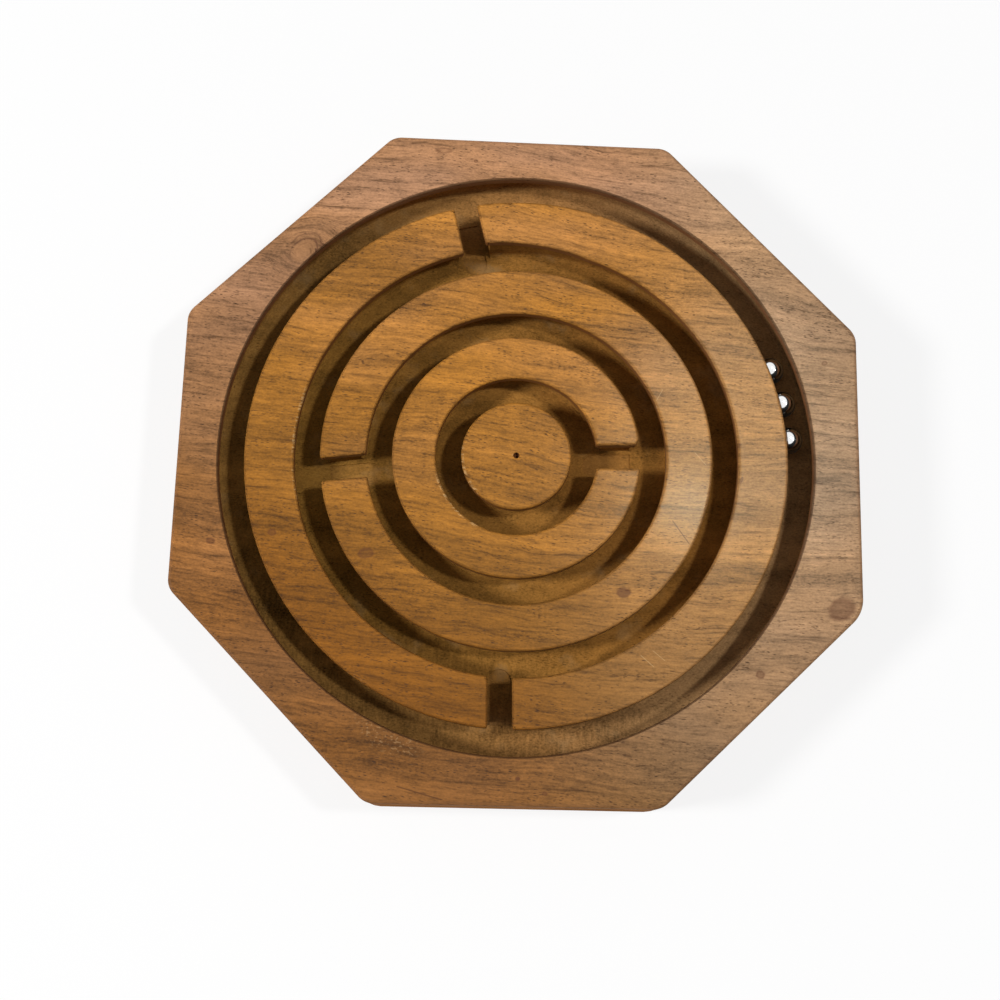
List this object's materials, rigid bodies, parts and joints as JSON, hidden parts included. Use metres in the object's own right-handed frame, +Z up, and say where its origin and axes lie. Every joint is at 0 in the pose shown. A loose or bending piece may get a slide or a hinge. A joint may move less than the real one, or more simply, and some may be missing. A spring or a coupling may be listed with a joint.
{
  "type": "wooden labyrinth puzzle",
  "caption": "Octagonal wooden board with concentric ring grooves joined by gates, in which captive steel balls roll towards the middle.",
  "frame": {"origin": "middle of the octagonal underside, on the table", "axes": "+Z up through the board towards the player, +X to the right and +Y to the top of the board as pictured, both square to a side of the octagon"},
  "size_m": [0.152, 0.1528, 0.02],
  "materials": {
    "raw_wood": "bare cut wood in the channels, oiled on the sides",
    "frame_wood": "satin varnish over fine-pored brown wood",
    "island_wood": "satin varnish over golden brown wood",
    "ball_steel": "polished steel"
  },
  "bodies": {
    "board": {"base_board": "raw_wood", "outer_frame": "frame_wood", "outer_ring_left": "island_wood", "outer_ring_right": "island_wood", "middle_ring": "island_wood", "inner_ring": "island_wood", "centre_disc": "island_wood"},
    "middle_ball": {"ball_middle": "ball_steel"},
    "upper_ball": {"ball_upper": "ball_steel"},
    "lower_ball": {"ball_lower": "ball_steel"}
  },
  "joints": [
    {"name": "middle_ball_round_ring", "type": "hinge", "parent": "board", "child": "middle_ball", "pos_m": [-0.00055, 0.00041, 0.0148], "axis": [0, 0, 1], "continuous": true},
    {"name": "upper_ball_from_middle", "type": "hinge", "parent": "middle_ball", "child": "upper_ball", "pos_m": [-0.00055, 0.00041, 0.0148], "axis": [0, 0, 1], "range_deg": [-1.9, 169]},
    {"name": "lower_ball_from_middle", "type": "hinge", "parent": "middle_ball", "child": "lower_ball", "pos_m": [-0.00055, 0.00041, 0.0148], "axis": [0, 0, 1], "range_deg": [-169, 2.1]}
  ]
}
